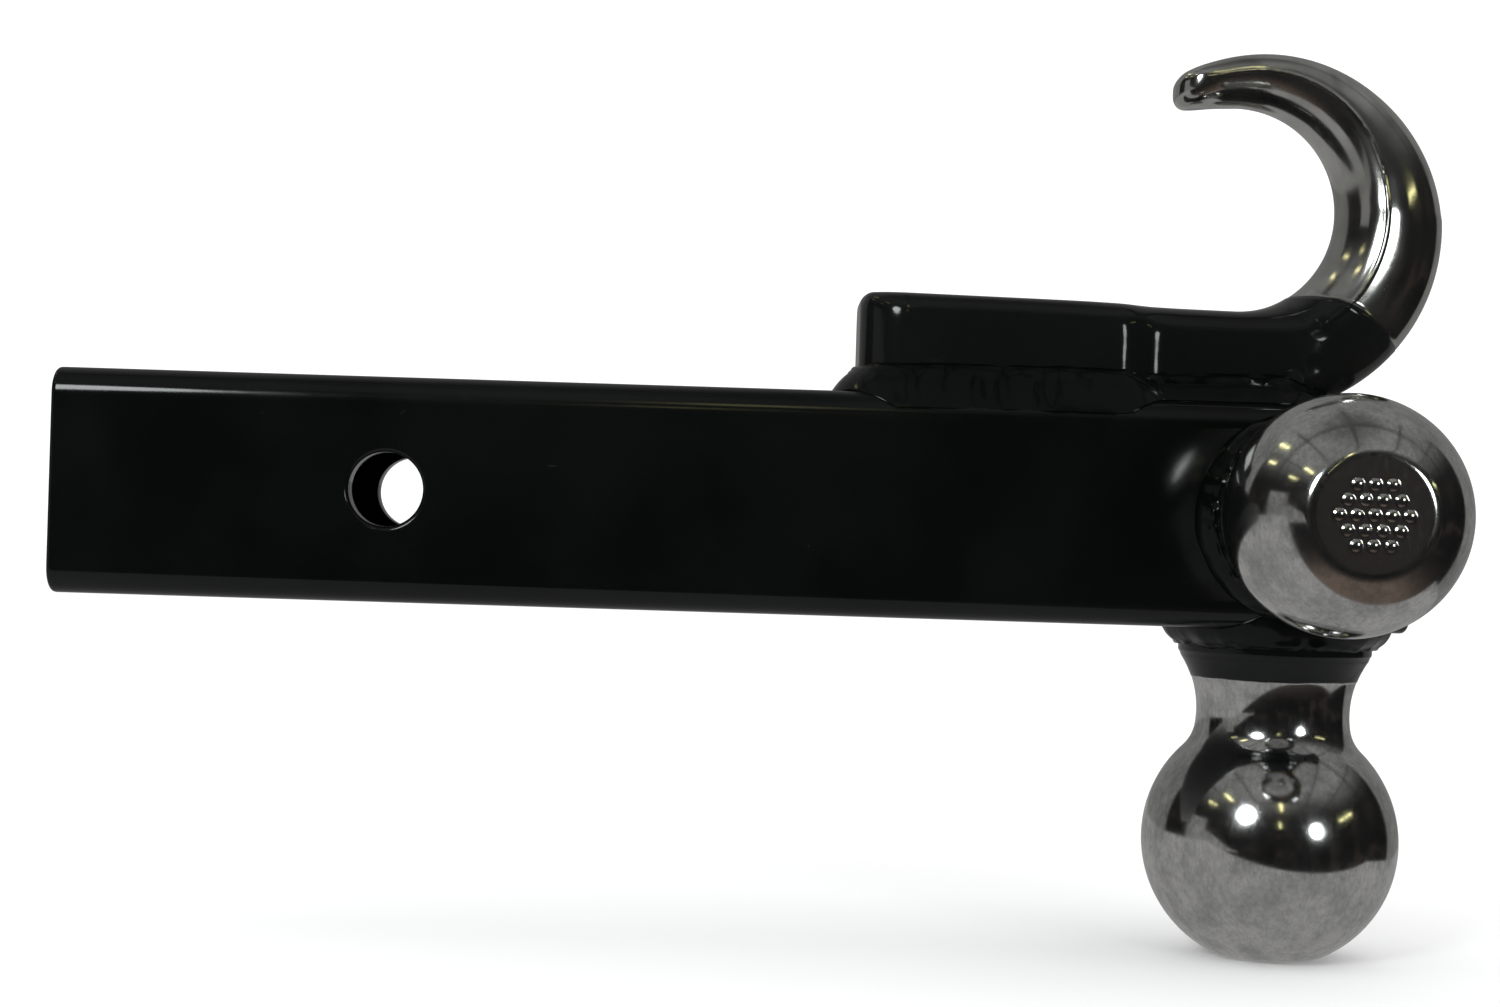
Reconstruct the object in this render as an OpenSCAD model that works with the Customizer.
// Receiver-hitch mount with three towing balls and a tow hook, welded up from steel.
// The origin is the centre of the hitch-pin hole, on the axis of the shank.
// +X runs along the shank to the balls, +Z points to the hook, -Y to the 2 inch ball.

/* [Shank] */
// Outside width of the square shank tube
shank_w = 50.8; // [49:0.1:52]
// Wall thickness of the shank tube
shank_wall = 6.35; // [5:0.05:8]
// Outside corner radius of the shank tube
corner_r = 6; // [3:0.5:7]
// Distance from the hitch-pin hole to the open end
open_end = 75.2; // [60:0.1:100]
// Distance from the hitch-pin hole to the axis of the balls
ball_axis = 204.6; // [200:0.1:240]
// Distance from the axis of the balls to the closed end
closed_end = 25; // [24.8:0.1:35]
// Diameter of the hitch-pin hole
pin_d = 16.7; // [16:0.1:17.5]
// Chamfer around the hitch-pin hole
pin_chamfer = 0.7; // [0.3:0.1:1.2]

/* [Closed end] */
// Thickness of the plate that closes the shank
cap_t = 4.8; // [3:0.1:8]
// Depth of the plate's face inside the end of the shank
cap_inset = 3; // [2:0.1:5]
// Leg of the fillet weld around the plate
cap_leg = 2.6; // [1.5:0.1:3]

/* [Balls] */
// Diameter of the front ball (2 inch)
front_d = 50.8; // [50:0.01:51]
// Diameter of the bottom ball (2-5/16 inch)
bottom_d = 58.74; // [58:0.01:59]
// Diameter of the rear ball (1-7/8 inch)
rear_d = 47.63; // [47:0.01:48]
// Centre of the front ball from the shank's axis
front_reach = 66; // [64:0.5:74]
// Centre of the bottom ball from the shank's axis
bottom_reach = 74.9; // [74:0.1:80]
// Centre of the rear ball from the shank's axis
rear_reach = 65; // [63:0.5:72]
// Radius of the flat on the end of each ball
flat_r = 11.8; // [8:0.1:13]
// Thickness of the flange under each neck
flange_t = 6.3; // [4:0.1:8]
// Diameter of the spigot that locates each ball in the shank's wall
spigot_d = 22; // [16:0.5:25]
// Leg of the fillet weld around each flange
ball_leg = 4.4; // [3:0.1:5.5]
// Height of the waist, as a share of the way from the flange to the ball
waist_share = 0.57; // [0.45:0.01:0.65]

/* [Hook] */
// Width of the hook's base bar
base_w = 38; // [34:0.5:40]
// Height of the base bar above the shank
base_h = 23.4; // [20:0.1:26]
// Free end of the base bar
base_x = 105.3; // [100:0.1:110]
// Corner radius of the bar's free end, seen from above
base_corner = 11; // [6:0.5:14]
// Drop of the bar's top from its free end to the bend
base_drop = 1.5; // [0:0.1:2]
// Rounding of the bar's free end, seen from the side
base_round = 3; // [1:0.5:5]
// Where the bar starts to narrow, along the shank
narrow_from = 164; // [155:1:168]
// Where the bar stops narrowing, along the shank
narrow_to = 173; // [169:1:185]
// Width of the hook's arm behind the bar
arm_w = 29; // [26:0.5:34]
// Radius inside the bend
throat_r = 23.9; // [20:0.1:26]
// Centre of the bend along the shank
bend_x = 191.8; // [190:0.1:194]
// Thickness of the hook at the middle of the bend
bend_t = 24.7; // [22:0.1:27]
// Width of the hook at the middle of the bend
bend_w = 27; // [24:0.5:30]
// End of the hook's tip along the shank
tip_x = 177.2; // [176:0.1:182]
// Width of the hook near its tip
tip_w = 15; // [12:0.5:18]
// Rounding of the tip's upper corner
tip_top_r = 2.5; // [0.8:0.1:3.6]
// Rounding of the tip's lower corner
tip_low_r = 3; // [0.8:0.1:3.6]
// Leg of the fillet weld around the base bar
hook_leg = 6.2; // [4:0.1:6.3]

/* [Hidden] */
$fn = 64;

PAINT = "#15181a";
CHROME = "#c9ced2";

face = shank_w / 2;
bore_w = shank_w - 2 * shank_wall;
bore_r = 1.6;
end_x = ball_axis + closed_end;
bend_z = face + base_h - base_drop + throat_r;
bend_out = bend_x + throat_r + bend_t;
slack = 1;

// Roundness of the hook's sections: 2 is an ellipse, larger is squarer
round_bar = 7;
round_arm = 3.4;
round_seat = 9;
round_inside = 1.7;
round_outside = 1.85;
round_tip = 1.95;
// Place of the widest line of a section, from the inside of the bend (0) to the outside (1)
crest_bar = 0.5;
crest_arm = 0.42;
crest_bend = 0.36;
crest_tip = 0.6;
// Extra half width where the bend runs into the tip
tip_swell = 1.2;
// Length over which the tip is rounded, seen from above
tip_nose = 6.5;
// Fall of the tip's inside from the bend to the end
tip_fall = 0.6;
// Outside of the bend: [radius, height of the centre below the bend's centre], above and below
upper_bow = [41.7, 5.3];
lower_bow = [43.2, 3.8];
// Back end of the weld around the bar, and its plan radius
weld_back = 212;
weld_back_r = 14;

// Neck sizes that suit each ball: flange radius and waist radius
front_neck = [19.5, 15.5];
bottom_neck = [22, 17.5];
rear_neck = [19, 14.5];

// ---- shared shapes ----

module rounded_square(w, r) {
    square([w, w - 2 * r], center = true);
    square([w - 2 * r, w], center = true);
    for (sx = [-1, 1], sy = [-1, 1])
        translate([sx * (w / 2 - r), sy * (w / 2 - r)])
            circle(r);
}

// A rounded square bar along X
module square_bar(w, r, x0, x1) {
    translate([x0, 0, 0])
        rotate([90, 0, 90])
            linear_extrude(x1 - x0)
                rounded_square(w, r);
}

// Stands its child, drawn along +Z, on the shank's axis where the balls are
module at_ball(turn) {
    translate([ball_axis, 0, 0])
        rotate([turn, 0, 0])
            children();
}

// ---- balls ----

// One forging: ball, waisted neck, flange and spigot, along +Z from the shank's axis
module ball_forging(d, reach, neck) {
    r = d / 2;
    flange_r = neck[0];
    waist_r = neck[1];
    flange_z = face + flange_t;
    meet_z = reach - sqrt(r * r - flange_r * flange_r);
    waist_z = flange_z + waist_share * (meet_z - flange_z);
    rise = waist_z - flange_z;
    dip = flange_r - waist_r;
    waist_arc = (rise * rise + dip * dip) / (2 * dip);
    flat_z = reach + sqrt(r * r - flat_r * flat_r);
    difference() {
        translate([0, 0, reach])
            sphere(r);
        translate([0, 0, flat_z + r])
            cube(2 * r, center = true);
    }
    rotate_extrude()
        difference() {
            translate([0, face])
                square([flange_r, meet_z - face]);
            translate([waist_r + waist_arc, waist_z])
                circle(waist_arc);
        }
    translate([0, 0, face - shank_wall])
        cylinder(h = shank_wall + slack, d = spigot_d);
}

// Fillet weld around a flange, wrapping onto the shank's rounded corners
module ball_weld(neck) {
    flange_r = neck[0];
    skirt = corner_r / 2;
    difference() {
        intersection() {
            rotate_extrude()
                polygon([
                    [flange_r, face - skirt],
                    [flange_r + ball_leg, face - skirt],
                    [flange_r + ball_leg, face],
                    [flange_r, face + ball_leg]
                ]);
            cube([4 * face, shank_w, 4 * face], center = true);
        }
        translate([-ball_axis, 0, 0])
            square_bar(shank_w, corner_r, 0, 2 * ball_axis);
    }
}

// ---- hook ----

function clamp01(v) = min(1, max(0, v));
function ease(v, a, b) = let (t = clamp01((v - a) / (b - a))) t * t * (3 - 2 * t);
function mix(a, b, t) = a + (b - a) * t;
function power(v, n) = sign(v) * pow(abs(v), 2 / n);
// Inset of a rounded end of radius r at distance d from that end
function round_end(d, r) = d >= r ? 0 : r - sqrt(r * r - (r - d) * (r - d));

// Outside of the bend: a flatter arc below the middle of the bend and a tighter one above
upper_arc = [bend_out - upper_bow[0], bend_z - upper_bow[1], upper_bow[0]];
lower_arc = [bend_out - lower_bow[0], bend_z - lower_bow[1], lower_bow[0]];

// Distance along a ray at angle a from the bend's centre to the outside of the bend
function arc_hit(a, arc) =
    let (dx = bend_x - arc[0], dz = bend_z - arc[1], along = dx * cos(a) + dz * sin(a))
    -along + sqrt(along * along - dx * dx - dz * dz + arc[2] * arc[2]);
function outside_at(a) =
    a >= 0 ? arc_hit(a, upper_arc) : min(arc_hit(a, lower_arc), (bend_z - face) / -sin(a));

// A ring is [inner point, outer point, half width, inner roundness, outer roundness, crest]
function base_half(x) =
    mix(base_w, arm_w, ease(x, narrow_from, narrow_to)) / 2 - round_end(x - base_x, base_corner);
function base_ring(x) =
    let (
        d = x - base_x,
        rounder = ease(x, narrow_from, bend_x),
        top = face + base_h - base_drop * d / (bend_x - base_x) - round_end(d, base_round)
    )
    [
        [x, top],
        [x, face],
        base_half(x),
        mix(round_bar, round_arm, rounder),
        round_seat,
        mix(crest_bar, crest_arm, rounder)
    ];
function bend_ring(a) =
    let (
        t = (a + 90) / 90,
        far = outside_at(a),
        half = t < 1 ? mix(arm_w, bend_w, t) / 2 : mix(bend_w / 2, tip_w / 2 + tip_swell, t - 1)
    )
    [
        [bend_x + throat_r * cos(a), bend_z + throat_r * sin(a)],
        [bend_x + far * cos(a), bend_z + far * sin(a)],
        half,
        mix(round_arm, round_inside, ease(a, -90, -50)),
        mix(round_seat, round_outside, ease(a, -90, -55)),
        mix(crest_arm, crest_bend, ease(a, -90, -50)) + (crest_tip - crest_bend) * ease(a, -5, 85)
    ];
function tip_ring(x) =
    let (
        d = x - tip_x,
        t = (bend_x - x) / (bend_x - tip_x),
        low = bend_z + throat_r - tip_fall * t,
        high = upper_arc[1] + sqrt(pow(upper_arc[2], 2) - pow(x - upper_arc[0], 2)),
        half = tip_w / 2 + tip_swell * (1 - t) - round_end(d, tip_nose)
    )
    [
        [x, low + round_end(d, tip_low_r)],
        [x, high - round_end(d, tip_top_r)],
        half,
        mix(round_inside, round_tip, t),
        mix(round_outside, round_tip, t),
        crest_tip
    ];

function ring_points(ring, count) = [
    for (i = [0 : count - 1])
        let (
            a = 360 * i / count,
            s = power(sin(a), sin(a) < 0 ? ring[3] : ring[4]),
            w = power(cos(a), sin(a) < 0 ? ring[3] : ring[4]),
            u = ring[5] + s * (s < 0 ? ring[5] : 1 - ring[5]),
            p = mix(ring[0], ring[1], u)
        )
        [p[0], ring[2] * w, p[1]]
];

// Skin over rings of equal length; a closed skin joins the last ring to the first
function skin_faces(rings, count, closed) = [
    for (i = [0 : rings - (closed ? 1 : 2)], j = [0 : count - 1])
        let (
            a = i * count + j,
            b = i * count + (j + 1) % count,
            c = ((i + 1) % rings) * count + (j + 1) % count,
            d = ((i + 1) % rings) * count + j
        )
        each [[a, b, c], [a, c, d]]
];
function end_faces(rings, count) = [
    [for (j = [count - 1 : -1 : 0]) j],
    [for (j = [0 : count - 1]) (rings - 1) * count + j]
];

module hook_body() {
    count = 36;
    bar_pitch = 12;
    arm_pitch = 4;
    bend_pitch = 6;
    tip_pitch = 3.4;
    base_rounding = [0, 0.04, 0.13, 0.3, 0.5, 0.75];
    tip_rounding = [0.9, 0.6, 0.35, 0.16, 0.05, 0.01];
    base_x_list = concat(
        [for (t = base_rounding) base_x + base_corner * t],
        [for (x = [base_x + base_corner : bar_pitch : narrow_from - 1]) x],
        [for (t = [0 : 0.2 : 1]) mix(narrow_from, narrow_to, t)],
        [for (x = [narrow_to + arm_pitch : arm_pitch : bend_x - 1]) x]
    );
    tip_x_list = concat(
        [for (x = [bend_x - tip_pitch : -tip_pitch : tip_x + tip_nose + 0.2]) x],
        [for (t = tip_rounding) tip_x + tip_nose * t]
    );
    rings = concat(
        [for (x = base_x_list) base_ring(x)],
        [for (a = [-90 : bend_pitch : 90]) bend_ring(a)],
        [for (x = tip_x_list) tip_ring(x)]
    );
    polyhedron(
        points = [for (ring = rings) each ring_points(ring, count)],
        faces = concat(skin_faces(len(rings), count, false), end_faces(len(rings), count)),
        convexity = 6
    );
}

// Height of the shank's top surface at a distance y from its middle plane
function shank_top(y) =
    let (over = abs(y) - (face - corner_r))
    over <= 0 ? face : face - corner_r + sqrt(max(0, corner_r * corner_r - over * over));

// Fillet section at plan point p, with outward direction n
function bead(p, n) =
    let (
        reach = function(k) p + n * hook_leg * k,
        toe = reach(1),
        mid = reach(0.5),
        crown = reach(0.62)
    )
    [
        [p[0], p[1], shank_top(p[1])],
        [mid[0], mid[1], shank_top(mid[1])],
        [toe[0], toe[1], shank_top(toe[1])],
        [crown[0], crown[1], mix(shank_top(crown[1]), face + hook_leg, 0.5)],
        [p[0], p[1], face + hook_leg]
    ];

module hook_weld() {
    corner = [base_x + base_corner, base_w / 2 - base_corner];
    back = [weld_back - weld_back_r, arm_w / 2 - weld_back_r];
    turn = atan2((base_w - arm_w) / 2, narrow_to - narrow_from);
    arc_pitch = 15;
    bar_pitch = 15;
    arm_pitch = 5;
    side = concat(
        [for (k = [0 : arc_pitch : 90])
            [corner - [cos(k), -sin(k)] * base_corner, [-cos(k), sin(k)]]],
        [for (x = [corner[0] + bar_pitch : bar_pitch : narrow_from - 1]) [[x, base_half(x)], [0, 1]]],
        [for (t = [0 : 0.2 : 1])
            let (x = mix(narrow_from, narrow_to, t), k = turn * (1 - abs(2 * t - 1)))
            [[x, base_half(x)], [sin(k), cos(k)]]],
        [for (x = [narrow_to + arm_pitch : arm_pitch : back[0] - 1]) [[x, base_half(x)], [0, 1]]],
        [for (k = [90 : -arc_pitch : 0])
            [back + [cos(k), sin(k)] * weld_back_r, [cos(k), sin(k)]]]
    );
    flip = [for (i = [len(side) - 1 : -1 : 0]) [
        [side[i][0][0], -side[i][0][1]],
        [side[i][1][0], -side[i][1][1]]
    ]];
    rings = [for (s = concat(side, flip)) bead(s[0], s[1])];
    polyhedron(
        points = [for (ring = rings) each ring],
        faces = skin_faces(len(rings), 5, true),
        convexity = 6
    );
}

// ---- nodes ----

module shank_tube() {
    color(PAINT)
        difference() {
            square_bar(shank_w, corner_r, -open_end, end_x);
            square_bar(bore_w, bore_r, -open_end - slack, end_x + slack);
            rotate([90, 0, 0])
                cylinder(h = shank_w + 2 * slack, d = pin_d, center = true);
            for (side = [-1, 1])
                rotate([90 * side, 0, 0])
                    translate([0, 0, face - pin_chamfer])
                        cylinder(h = 2 * pin_chamfer, r1 = pin_d / 2, r2 = pin_d / 2 + 2 * pin_chamfer);
            for (turn = [90, -90, 180])
                at_ball(turn)
                    translate([0, 0, face - shank_wall - slack])
                        cylinder(h = shank_wall + 2 * slack, d = spigot_d);
        }
}

module end_cap() {
    color(PAINT)
        square_bar(bore_w, bore_r, end_x - cap_inset - cap_t, end_x - cap_inset);
}

module ball_front() {
    color(CHROME)
        at_ball(90)
            ball_forging(front_d, front_reach, front_neck);
}

module ball_bottom() {
    color(CHROME)
        at_ball(180)
            ball_forging(bottom_d, bottom_reach, bottom_neck);
}

module ball_rear() {
    color(CHROME)
        at_ball(-90)
            ball_forging(rear_d, rear_reach, rear_neck);
}

module tow_hook() {
    color(CHROME)
        hook_body();
}

module weld_ball_front() {
    color(PAINT)
        at_ball(90)
            ball_weld(front_neck);
}

module weld_ball_bottom() {
    color(PAINT)
        at_ball(180)
            ball_weld(bottom_neck);
}

module weld_ball_rear() {
    color(PAINT)
        at_ball(-90)
            ball_weld(rear_neck);
}

module weld_tow_hook() {
    color(PAINT)
        hook_weld();
}

// Fillet frame between the plate's face and the inside of the shank
module weld_end_cap() {
    mouth = bore_w - 2 * cap_leg;
    color(PAINT)
        difference() {
            square_bar(bore_w, bore_r, end_x - cap_inset, end_x - cap_inset + cap_leg);
            translate([end_x - cap_inset, 0, 0])
                rotate([90, 0, 90])
                    linear_extrude(cap_leg, scale = bore_w / mouth)
                        rounded_square(mouth, bore_r * mouth / bore_w);
        }
}

shank_tube();
end_cap();
ball_front();
ball_bottom();
ball_rear();
tow_hook();
weld_ball_front();
weld_ball_bottom();
weld_ball_rear();
weld_tow_hook();
weld_end_cap();
